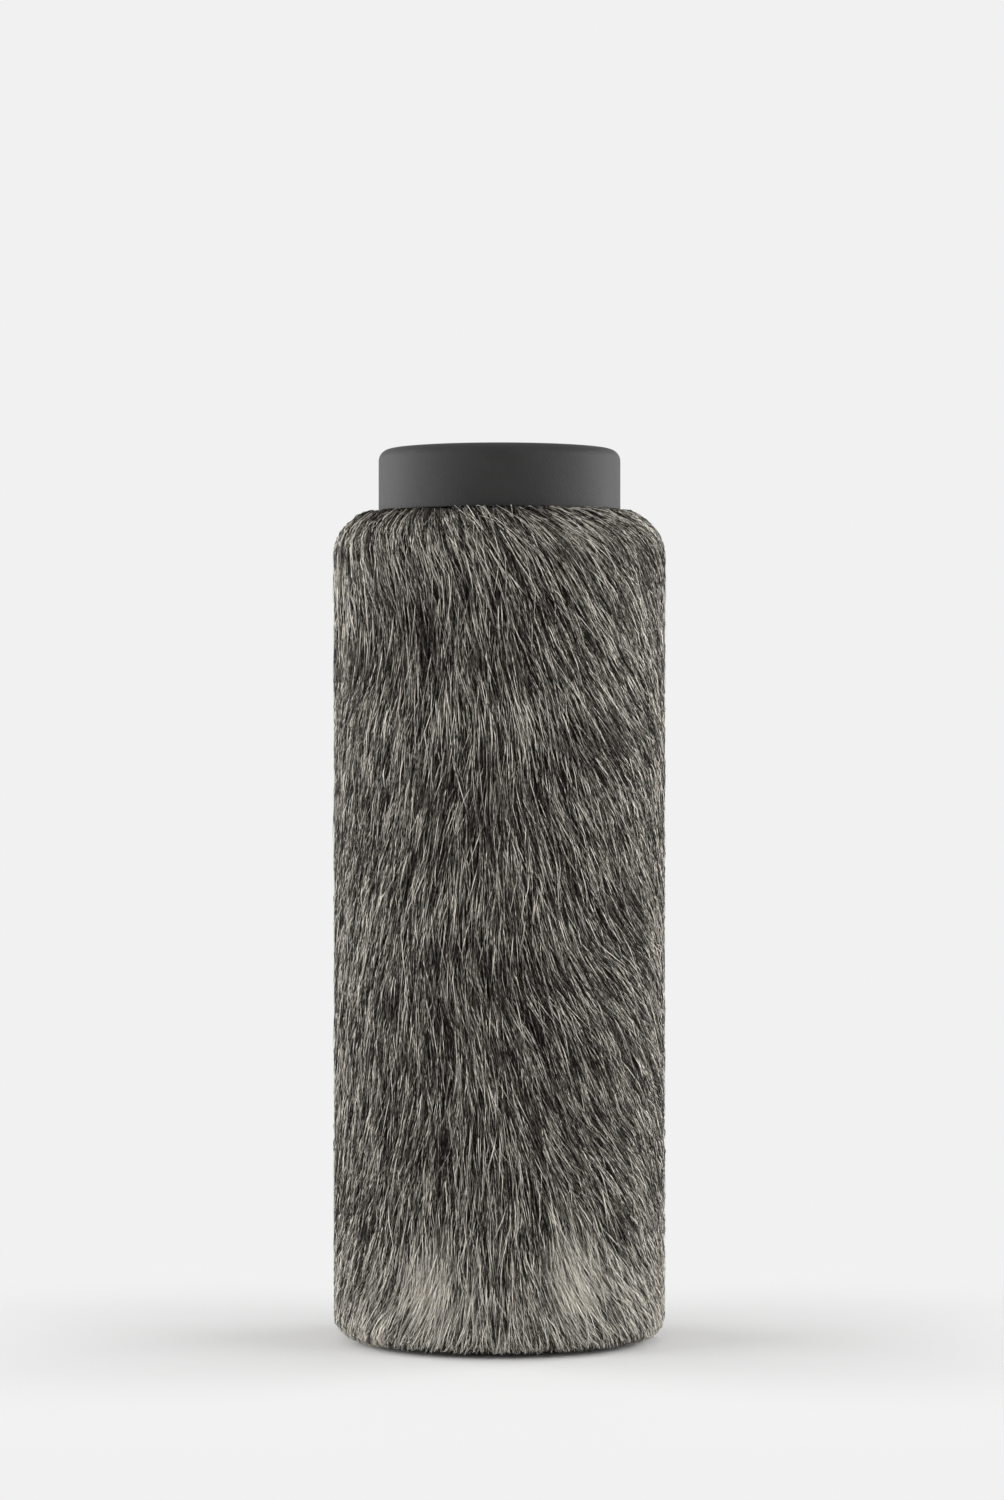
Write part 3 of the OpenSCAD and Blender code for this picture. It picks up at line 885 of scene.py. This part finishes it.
class Coat:
    """A coat of the sleeve's pile: where each hair is rooted, its lock, and what it is like.

    A kind of coat has the cuts of its hair, also for hairs that turn a corner, the hair's taper
    and the power by which it rises, and draws what else sets one hair apart from another."""

    def __init__(self, lay, draws, hairs):
        self.lay, pile, surface = lay, lay.pile, lay.surface
        extra = hairs // COLLAR_EXTRA
        share = (np.arange(hairs) + draws.uniform(0, 1, hairs)) / hairs
        angle = TURN * (np.arange(hairs) * ROOT_STEP + draws.uniform(0, 0.1, hairs))
        down = np.concatenate([surface.down_for_share(share),
                               draws.uniform(0, COLLAR_ZONE, extra)])
        angle = np.concatenate([angle, draws.uniform(0, TURN, extra)]) % TURN
        self.down, self.angle, self.lock = down, angle, lay.locks_at(down, angle)
        hollow = lay.streaks(down, angle)
        low = 1 - eased(surface.read(surface.height, down), *PALE_RISE)
        sunk = lay.lock_sink[self.lock] + 0.3 * MM * np.clip(-hollow, -0.4, 1.5)
        # Where the streaks sink the hairs deeper their tone is darker, as painted shade.
        self.tone = (lay.lock_tone[self.lock] + STREAK_SHADE * hollow
                     + TONE_PATCHES * lay.patches(down, angle)
                     + TONE_LOW * low + TONE_TUFTS * pale_tufts(surface, down, angle))
        self.draw_traits(pile, draws, hairs + extra, sunk)
        self.bias += lay.lock_bias[self.lock]
        self.tip_depth = np.clip(self.tip_depth, SKIN, pile.depth - UNDERFUR_RISE)
        self.roll = draws.uniform(0, TURN, hairs + extra)
        depth = COLLAR_ROOTS + (pile.depth - COLLAR_ROOTS) * eased(down, 0, FULL_DEPTH)
        self.root_depth = np.maximum(depth, self.tip_depth)

    def depth_along(self, here, way):
        """How deep the chosen hairs lie at each station."""
        rise = 1 - (1 - way) ** self.rise_power
        return (self.root_depth[here, None]
                + (self.tip_depth[here] - self.root_depth[here])[:, None] * rise[None])

    def laid(self, hair, here):
        """Copies of a hair for the chosen ones, laid along the combing and into their locks."""
        lay, surface, way = self.lay, self.lay.surface, hair.ways
        down, angle = self.down[here], self.angle[here]
        downs, turns = comb(surface, lay.lean, down, angle, self.length[here], way,
                            self.bias[here])
        aside = lay.off_lock(self.lock[here], down, angle)
        turns = turns - lay.pile.gather * way[None] ** 1.4 * aside[:, None]
        depth = self.depth_along(here, way) - surface.swell(downs)
        lines, outward = surface.place(downs, turns, depth)
        lines[..., 2] = np.maximum(lines[..., 2], FLOOR_GAP)
        widths = self.width[here, None] * np.interp(way, *self.taper)
        return hair.copies(lines, outward, widths, self.tone[here], self.roll[here])


class Wool(Coat):
    """Short fine hairs, whose tips stay among the others."""
    cuts, bent_cuts = (), (0.5,)
    taper, rise_power = ((0, 1), (1.0, 0)), 1.5

    def draw_traits(self, pile, draws, hairs, sunk):
        """Each hair's length, width, tone, depth at the tip, and lean off the combing."""
        self.length = pile.wool_length * draws.uniform(0.6, 1.3, hairs)
        self.width = pile.wool_width * draws.uniform(0.7, 1.2, hairs)
        self.tone += draws.normal(0.29, 0.20, hairs)
        self.tip_depth = draws.uniform(0.4, 2.0, hairs) * MM + sunk
        self.bias = draws.normal(0, 0.15, hairs)


class Guards(Coat):
    """Long hairs of four kinds, whose middles may lie higher or deeper than their tips."""
    cuts, bent_cuts = (0.5,), (0.25, 0.5, 0.75)
    taper, rise_power = ((0, 0.5, 1), (0.8, 1.0, 0)), 2.6

    def draw_traits(self, pile, draws, hairs, sunk):
        """As for wool, and each hair's kind and its depth at the middle."""
        parts, *traits = np.transpose(GUARD_KINDS)
        kind = draws.choice(len(parts), hairs, p=parts)
        usual_tone, wide, long, dive, stray = (trait[kind] for trait in traits)
        self.length = pile.guard_length * long * draws.uniform(0.7, 1.35, hairs)
        self.width = pile.guard_width * wide * draws.uniform(0.7, 1.25, hairs)
        self.tone = self.tone + usual_tone + draws.normal(0, 0.08, hairs)
        self.tip_depth = dive * (draws.uniform(0, 1.7, hairs) * MM + 0.5 * sunk) + SKIN
        self.mid_depth = dive * (draws.uniform(0, 1.1, hairs) * MM + 0.5 * sunk) + SKIN
        self.bias = stray * draws.normal(0, 1, hairs)

    def depth_along(self, here, way):
        """How deep the chosen hairs lie at each station, with their hump or hollow."""
        hump = np.sin(math.pi * way)[None] ** 1.5
        depth = (super().depth_along(here, way)
                 + hump * (self.mid_depth[here] - self.tip_depth[here])[:, None])
        return np.clip(depth, SKIN, None)


class WINDSCREEN_OT_pile(Step, bpy.types.Operator):
    """Grow the sleeve's wool and guard hairs, combed towards the nose"""
    bl_idname = "windscreen.pile"
    bl_label = "Pile"

    def execute(self, context):
        pile = context.scene.windscreen_pile
        draws = np.random.default_rng(pile.seed)
        lay = Lay(pile, draws)
        sectors = [[] for _ in range(SECTORS)]
        for sort, hairs in ((Wool, pile.wool), (Guards, pile.guards)):
            coat = sort(lay, draws, hairs)
            bent = ((coat.down < SHOULDER_END)
                    | (coat.down + coat.length > lay.surface.length - EDGE_START))
            sector = ((coat.angle * SECTORS / TURN + 0.5) % SECTORS).astype(int)
            for cuts, these in ((coat.cuts, ~bent), (coat.bent_cuts, bent)):
                hair = Hair(cuts)
                for number in range(SECTORS):
                    here = np.flatnonzero(these & (sector == number))
                    sectors[number].append(coat.laid(hair, here))
        material = hair_material(pile)
        for number, groups in enumerate(sectors):
            hair_piece(f"hairs_{number + 1:02d}", groups, material)
        return {"FINISHED"}


class WINDSCREEN_OT_nose_pile(Step, bpy.types.Operator):
    """Grow the nose panel's hairs, pressed flat by what the windscreen stands on"""
    bl_idname = "windscreen.nose_pile"
    bl_label = "Nose pile"

    def execute(self, context):
        pile = context.scene.windscreen_pile
        draws = np.random.default_rng(pile.seed + 1)
        share = (NOSE_HIGH.x / FUR_HIGH.x) ** 2 * FUR_HIGH.x / (2 * FUR_HIGH.z)
        groups = []
        for number, usual_length, usual_width, traits in (
                (pile.wool, pile.wool_length, pile.wool_width, NOSE_WOOL),
                (pile.guards, pile.guard_length, pile.guard_width, NOSE_GUARDS)):
            cuts, lengths, widths, tones, rises, taper = traits
            hair, hairs = Hair(cuts), int(NOSE_DENSITY * share * number)
            radius = NOSE_HIGH.x * np.sqrt((np.arange(hairs) + draws.uniform(0, 1, hairs)) / hairs)
            angle = TURN * np.arange(hairs) * LOCK_STEP + draws.normal(0, 0.02, hairs)
            root = np.stack([radius * np.sin(angle), -radius * np.cos(angle)], 1)
            swirl = np.sin(90 * root[:, 0] + 1) * np.cos(70 * root[:, 1])
            way = hair.ways[None]
            bend = draws.normal(0, 0.10, hairs)[:, None] * way
            turn = 0.35 + 0.25 * swirl[:, None] + draws.normal(0, 0.12, hairs)[:, None] + bend
            length = usual_length * draws.uniform(*lengths, hairs)
            width = usual_width * draws.uniform(*widths, hairs)
            tone = draws.normal(*tones, hairs)
            tip = draws.uniform(*rises, hairs)[:, None] * MM
            tips = root + length[:, None] * np.stack([np.sin(turn[:, -1]), np.cos(turn[:, -1])], 1)
            over = np.linalg.norm(tips, axis=1) - NOSE_REACH * FUR_HIGH.x
            reach = np.maximum(length - np.maximum(over, 0), NOSE_SHORTEST)[:, None] * way
            height = FLOOR_GAP + tip + (NOSE_ROOTS - tip) * (1 - way) ** 2.2
            lines = np.stack([root[:, :1] + reach * np.sin(turn),
                              root[:, 1:] + reach * np.cos(turn), height], -1)
            outward = np.broadcast_to([0.0, 0.0, -1.0], lines.shape)
            groups.append(hair.copies(lines, outward, width[:, None] * np.interp(way, *taper),
                                      tone, draws.uniform(0, TURN, hairs)))
        hair_piece("hairs_nose", groups, hair_material(pile))
        return {"FINISHED"}


class WINDSCREEN_OT_underfur(Step, bpy.types.Operator):
    """Make the dense pile that the hairs stand in, on the sleeve and on the nose"""
    bl_idname = "windscreen.underfur"
    bl_label = "Underfur"

    def execute(self, context):
        pile = context.scene.windscreen_pile
        material = underfur_material(pile)
        surface = PileSurface()
        down = np.linspace(UNDERFUR_START, surface.last_root, 70)
        points, _ = surface.place(down, np.zeros_like(down), pile.depth - UNDERFUR_RISE)
        inner, top = CLOTH_HIGH.x + GAP, TIE_LOW.z - UNDER_TIE
        profile = [(-y, z) for _, y, z in points]
        inside = [(inner, CLOTH_LOW.z + FLOOR_GAP), (inner, top)]
        profile += filled_in(inside, longest=12 * MM)[:-1]
        sleeve = lathe("underfur_sleeve", profile, segments=180)

        # Room for the seam's stitches and for the cable tie's head and tail, at the back
        def make_room(point):
            if point.y > 0 and abs(point.x) < STITCH_ROOM[0]:
                point = pushed_out(point, CLOTH_HIGH.x + STITCH_ROOM[1])
            if point.y > 0 and TAIL_END < point.x < HEAD_END and point.z > top - HEAD_HEIGHT:
                point = pushed_out(point, TIE_HIGH.y + 4 * GAP)
            return point
        move_vertices(sleeve, make_room)

        low, high, wide = NOSE_LOW.z + NOSE_ROOTS, NOSE_HIGH.z, NOSE_HIGH.x - NOSE_RIM
        nose = lathe("underfur_nose", [
            (AXIS_HOLE, low), (12 * MM, low), (24 * MM, low), (wide - 1 * MM, low),
            (wide, low + 1 * MM), (CLOTH_HIGH.x, high), (12 * MM, high), (AXIS_HOLE, high)],
            segments=120, closed=False)
        for piece, node in ((sleeve, "fur_sleeve"), (nose, "fur_nose")):
            finish_piece(piece, material, node)
        return {"FINISHED"}


# ---- Foam ----

def roughened(obj, depth, size):
    """Sinks an object's surface here and there, as cut foam has."""
    normals = [v.normal.copy() for v in obj.data.vertices]
    for vertex, normal in zip(obj.data.vertices, normals):
        vertex.co -= normal * depth * (0.5 + 0.5 * noise.noise(vertex.co / size))
    obj.data.update()


class WINDSCREEN_OT_foam(Step, bpy.types.Operator):
    """Cut the foam tube round the microphone and the plug that closes its nose end"""
    bl_idname = "windscreen.foam"
    bl_label = "Foam"

    def execute(self, context):
        material = foam_material(context.scene.windscreen_foam)
        bore, outer, sink = MIC_D / 2, CORE_HIGH.x, SPIGOT_LOW.z - GAP
        barb, plug, step = PLUG_R + GAP, PLUG_R, CORE_LOW.z - GAP
        tube = lathe("foam_tube", filled_in(rounded([
            (plug + GAP, CORE_LOW.z), (outer, CORE_LOW.z), (outer, CORE_HIGH.z),
            (barb, CORE_HIGH.z), (barb, sink), (bore, sink), (bore, PLUG_HIGH.z + GAP),
            (plug + GAP, PLUG_HIGH.z + GAP)], FOAM_CORNER, corners=(0, 1, 2, 3, 5)),
            longest=3 * MM), segments=96)
        disc = lathe("foam_plug", filled_in(rounded([
            (AXIS_HOLE, PLUG_LOW.z), (outer - NOSE_SLOPE, PLUG_LOW.z),
            (outer, PLUG_LOW.z + NOSE_SLOPE), (outer, step), (plug, step), (plug, PLUG_HIGH.z),
            (AXIS_HOLE, PLUG_HIGH.z)], FOAM_CORNER, corners=(2, 3, 5)),
            longest=3 * MM)[:-1], segments=96, closed=False)
        for piece, node in ((tube, "foam_core"), (disc, "foam_nose")):
            roughened(piece, depth=0.25 * MM, size=5 * MM)
            finish_piece(piece, material, node)
        return {"FINISHED"}


# ---- Cloth ----

def nose_ridge(along, off):
    """A point of the seam ridge turned in round the nose: along it from the cloth's corner, and
    off its middle."""
    return (CLOTH_RADIUS + (off - along) * SLANT, CLOTH_BASE + (off + along) * SLANT)


def slit_at_back(obj, width):
    """Parts a ring at +Y, where the cloth's two edges butt together."""
    bpy.ops.object.select_all(action="DESELECT")
    obj.select_set(True)
    bpy.context.view_layer.objects.active = obj
    bpy.ops.object.mode_set(mode="EDIT")
    mesh = chosen("FACE", lambda face: face.calc_center_median().y > 0
                  and abs(face.calc_center_median().x) < 0.01 * MM)
    for vertex in {vertex for face in mesh.faces if face.select for vertex in face.verts}:
        vertex.co.x = math.copysign(width / 2, vertex.co.x)
    bpy.ops.mesh.delete(type="FACE")
    for side in (-1, 1):
        chosen("EDGE", lambda edge: edge.is_boundary and side * edge.verts[0].co.x > 0)
        bpy.ops.mesh.edge_face_add()
    outwards()


class WINDSCREEN_OT_cloth(Step, bpy.types.Operator):
    """Sew the knitted sleeve, gathered at its hem, and the round panel that closes the nose"""
    bl_idname = "windscreen.cloth"
    bl_label = "Knitted cloth"

    def execute(self, context):
        cloth = context.scene.windscreen_cloth
        material = knit_material(cloth)
        hem_out, top, neck = TAPE_HIGH.x - TAPE_T - THREAD_GAP, CLOTH_HIGH.z, TIE_LOW.z - 2 * GAP
        hem_in, inner, under = hem_out - CLOTH_T, CLOTH_RADIUS - CLOTH_T, neck - CLOTH_T + GAP
        face = CLOTH_T + THREAD_GAP
        fold = face + CLOTH_T / SLANT
        sleeve = lathe("cloth_sleeve", filled_in(rounded([
            nose_ridge(0, THREAD_GAP), (CLOTH_RADIUS, neck), (hem_out, neck + GAP),
            (hem_out, top), (hem_in, top), (hem_in, under), (inner, under),
            (inner, nose_ridge(fold, face)[1]), nose_ridge(SEAM_RIDGE, face),
            nose_ridge(SEAM_RIDGE, THREAD_GAP)], CLOTH_CORNER, corners=(0, 1, 3, 4, 8, 9)),
            longest=3 * MM), segments=180)

        # Where the tie draws the hem in, the cloth puckers into the collar's groove
        def pucker(point):
            radius, angle = math.hypot(point.x, point.y), math.atan2(point.x, -point.y)
            if radius > hem_out + 1 * MM:
                return point
            drawn = eased(point.z, neck, neck + 2 * MM) * (1 - eased(point.z, *PUCKER_FALL))
            wave = 0.5 - 0.5 * math.cos(cloth.gathers * angle + 1.2 * math.sin(3 * angle))
            return at_radius(point, radius - PUCKER * drawn * wave)
        move_vertices(sleeve, pucker)
        slit_at_back(sleeve, SEAM_SLIT)

        panel = lathe("cloth_nose", filled_in(rounded([
            (AXIS_HOLE, CLOTH_BASE), (CLOTH_RADIUS - 2 * THREAD_GAP, CLOTH_BASE),
            nose_ridge(SEAM_RIDGE, -THREAD_GAP), nose_ridge(SEAM_RIDGE, -face),
            (nose_ridge(fold, -face)[0], CLOTH_BASE + CLOTH_T),
            (AXIS_HOLE, CLOTH_BASE + CLOTH_T)],
            CLOTH_CORNER, corners=(1, 2, 3)), longest=3 * MM)[:-1], segments=120, closed=False)
        for piece, node in ((sleeve, "sleeve_backing"), (panel, "nose_backing")):
            finish_piece(piece, material, node)
        return {"FINISHED"}


class WINDSCREEN_OT_tape(Step, bpy.types.Operator):
    """Fold the binding tape over the sleeve's hem"""
    bl_idname = "windscreen.tape"
    bl_label = "Binding tape"

    def execute(self, context):
        low, top, out_r = TAPE_LOW.z, TAPE_HIGH.z, TAPE_HIGH.x
        in_r = out_r - 2 * (TAPE_T + THREAD_GAP) - CLOTH_T
        profile = rounded([
            (in_r, low), (in_r + TAPE_T, low), (in_r + TAPE_T, top - TAPE_T),
            (out_r - TAPE_T, top - TAPE_T), (out_r - TAPE_T, low), (out_r, low), (out_r, top),
            (in_r, top)], radius=0.2 * MM, corners=(0, 1, 4, 5))
        folds = (len(profile) - 2, len(profile) - 1)
        profile = rounded(profile, radius=0.5 * MM, corners=folds, steps=5)
        tape = lathe("binding_tape", filled_in(profile, longest=1 * MM), segments=150)
        finish_piece(tape, tape_material(context.scene.windscreen_cloth), "hem_binding")
        return {"FINISHED"}


def model_stitch():
    """One run of two-ply thread lying along X, its ends turned down into the cloth."""
    stitch = started(bpy.ops.mesh.primitive_cylinder_add, vertices=8, radius=THREAD_D / 2,
                     depth=STITCH, rotation=(0, math.pi / 2, 0))
    bpy.ops.object.mode_set(mode="EDIT")
    cut_across((1, 0, 0), [-0.5 * STITCH * math.cos(math.pi * i / STITCH_PARTS)
                           for i in range(1, STITCH_PARTS)])
    bpy.ops.object.mode_set(mode="OBJECT")
    bpy.ops.object.shade_smooth()

    def twist(point):
        ply = math.atan2(point.z, point.y) - TURN * point.x / PLY_TURN
        lobe = 0.72 + 0.28 * abs(math.cos(ply))
        dip = THREAD_D * (2 * abs(point.x) / STITCH) ** 6
        return Vector((point.x, point.y * lobe, point.z * lobe - dip))
    move_vertices(stitch, twist)
    return stitch


class WINDSCREEN_OT_stitches(Step, bpy.types.Operator):
    """Sew the side seam, the nose seam and the hem"""
    bl_idname = "windscreen.stitches"
    bl_label = "Stitches"

    def execute(self, context):
        material = thread_material(context.scene.windscreen_cloth)
        stitch = model_stitch()
        lift = THREAD_D / 2 + THREAD_GAP

        def tangent(radius, height, turn, tilt):
            """Along the tangent at an angle about Z, its back tilted up from straight outwards."""
            return (Matrix.Rotation(turn, 4, "Z") @ Matrix.Translation((0, radius, height))
                    @ Matrix.Rotation(tilt - math.pi / 2, 4, "X"))

        first, last = CLOTH_BASE + SEAM_RIDGE + SIDE_PITCH, TIE_LOW.z - SIDE_END - SIDE_PITCH
        side = [Matrix.Translation((0, CLOTH_RADIUS + lift, first + i * SIDE_PITCH))
                @ Matrix.Rotation(math.radians(ZIGZAG[i % 2]), 4, "Y")
                @ Matrix.Rotation(-math.pi / 2, 4, "X")
                for i in range(int((last - first) / SIDE_PITCH) + 1)]
        off = 3 * THREAD_GAP + CLOTH_T + THREAD_D / 2
        nose = [tangent(*nose_ridge(SEAM_RIDGE * 2 / 3, face * off),
                        (i + 0.5) * TURN / NOSE_STITCHES, math.radians(45 if face > 0 else 225))
                for face in (-1, 1) for i in range(NOSE_STITCHES)]
        hem = [tangent(TAPE_HIGH.x + lift, TAPE_LOW.z + HEM_LINE,
                       (i + 0.5) * TURN / HEM_STITCHES, 0) for i in range(HEM_STITCHES)]
        for name, node, places in (("side_stitches", "side_seam_thread", side),
                                   ("nose_stitches", "nose_seam_thread", nose),
                                   ("hem_stitches", "hem_thread", hem)):
            mesh = bmesh.new()
            for place in places:
                first_vertex = len(mesh.verts)
                mesh.from_mesh(stitch.data)
                mesh.verts.ensure_lookup_table()
                bmesh.ops.transform(mesh, matrix=place, verts=mesh.verts[first_vertex:])
            data = bpy.data.meshes.new(name)
            mesh.to_mesh(data)
            mesh.free()
            finish_piece(linked(data), material, node)
        bpy.data.meshes.remove(stitch.data)
        return {"FINISHED"}


# ---- Rubber and nylon ----

class WINDSCREEN_OT_rubber(Step, bpy.types.Operator):
    """Finish the collar and the grip ring as moulded rubber, and the tie and spigot as nylon"""
    bl_idname = "windscreen.rubber"
    bl_label = "Rubber and nylon"

    def execute(self, context):
        trim = context.scene.windscreen_trim
        # Roughness, specular level, and the grain's size and height
        for names, *look in (
                (["collar"], "Collar rubber", trim.collar, 0.58, 0.3, 0.35 * MM, 0.12 * MM),
                (["grip_ring"], "Grip rubber", trim.grip, 0.66, 0.35, 0.3 * MM, 0.12 * MM),
                (["cable_tie", "spigot"], "Nylon", trim.nylon, 0.42, 0.5, 0.4 * MM, 0.03 * MM)):
            material = moulded_material(*look)
            for name in names:
                give_material(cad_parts[name], material)
        return {"FINISHED"}


class WINDSCREEN_OT_stage(Step, bpy.types.Operator):
    """Add the floor, the lamps and the camera"""
    bl_idname = "windscreen.stage"
    bl_label = "Stage"

    def execute(self, context):
        stage = context.scene.windscreen_stage
        floor = started(bpy.ops.mesh.primitive_plane_add, size=8)
        floor.name = "floor"
        # Away from the shadow the camera sees the floor as the backdrop
        material, tree, shader = blank_material("Floor", stage.floor, 0.9)
        away = add_node(tree, "VectorMath", {0: object_coords(tree)},
                        operation="LENGTH")
        fade = add_node(tree, "MapRange",
                        {"Value": away.outputs["Value"], "From Min": NEAR_FLOOR,
                         "From Max": FAR_FLOOR},
                        interpolation_type="SMOOTHERSTEP")
        far = maths(tree, "MULTIPLY", fade.outputs["Result"], backdrop_rays(tree))
        seen = seen_as(tree, far, shader.outputs["BSDF"], "Emission", stage.backdrop)
        tree.links.new(seen, tree.nodes["Material Output"].inputs["Surface"])
        give_material(floor, material)

        world = context.scene.world or bpy.data.worlds.new("World")
        context.scene.world = world
        world.use_nodes = True
        tree = world.node_tree
        tree.nodes.clear()
        light = add_node(tree, "Background", {"Strength": stage.sky})
        seen = seen_as(tree, backdrop_rays(tree), light.outputs["Background"],
                       "Background", stage.backdrop)
        add_node(tree, "OutputWorld", {"Surface": seen})

        # Each lamp's name, place, size and power
        lamps = [(f"{end} {side} lamp", (x, y, 0.3), 0.6, stage.side_power)
                 for end, y in (("Front", -0.35), ("Back", 0.35))
                 for side, x in (("left", -0.8), ("right", 0.8))]
        lamps.append(("Top lamp", (0.0, -0.2, 1.5), 1.6, stage.top_power))
        for name, place, size, power in lamps:
            lamp = bpy.data.lights.new(name, "AREA")
            lamp.size = size
            lamp.energy = power
            holder = linked(lamp)
            holder.location = place
            holder.rotation_mode = "QUATERNION"
            holder.rotation_quaternion = (LAMPS_AIM - Vector(place)).to_track_quat("-Z", "Y")

        camera = bpy.data.cameras.new("Camera")
        camera.lens = stage.lens
        holder = linked(camera)
        holder.location = (CAMERA_X, -stage.distance, stage.height)
        holder.rotation_euler = (math.pi / 2, 0, 0)
        context.scene.camera = holder
        context.scene.view_settings.view_transform = "Standard"
        return {"FINISHED"}


class WINDSCREEN_PT_panel(bpy.types.Panel):
    """Lists the windscreen's settings and pieces"""
    bl_idname = "WINDSCREEN_PT_panel"
    bl_label = "Furry Windscreen"
    bl_space_type = "VIEW_3D"
    bl_region_type = "UI"
    bl_category = "Windscreen"

    def draw(self, context):
        for name, group in SETTINGS.items():
            box = self.layout.box()
            for setting in group.__annotations__:
                box.prop(getattr(context.scene, name), setting)
        for step in STEPS:
            self.layout.operator(step.bl_idname)


SETTINGS = {
    "windscreen_pile": PileSettings,
    "windscreen_foam": FoamSettings,
    "windscreen_cloth": ClothSettings,
    "windscreen_trim": TrimSettings,
    "windscreen_stage": StageSettings,
}
STEPS = (WINDSCREEN_OT_foam, WINDSCREEN_OT_cloth, WINDSCREEN_OT_tape, WINDSCREEN_OT_stitches,
         WINDSCREEN_OT_underfur, WINDSCREEN_OT_pile, WINDSCREEN_OT_nose_pile,
         WINDSCREEN_OT_rubber, WINDSCREEN_OT_stage)


CLASSES = (*SETTINGS.values(), *STEPS, WINDSCREEN_PT_panel)


def register():
    """Registers the classes, and hangs the settings on the scene."""
    for cls in CLASSES:
        bpy.utils.register_class(cls)
    for name, group in SETTINGS.items():
        setattr(bpy.types.Scene, name, PointerProperty(type=group))


def unregister():
    """Takes back what register did."""
    for name in SETTINGS:
        delattr(bpy.types.Scene, name)
    for cls in reversed(CLASSES):
        bpy.utils.unregister_class(cls)


def main():
    """Makes every piece in order."""
    register()
    for step in STEPS:
        group, name = step.bl_idname.split(".")
        getattr(getattr(bpy.ops, group), name)()


if __name__ == "__main__":
    main()
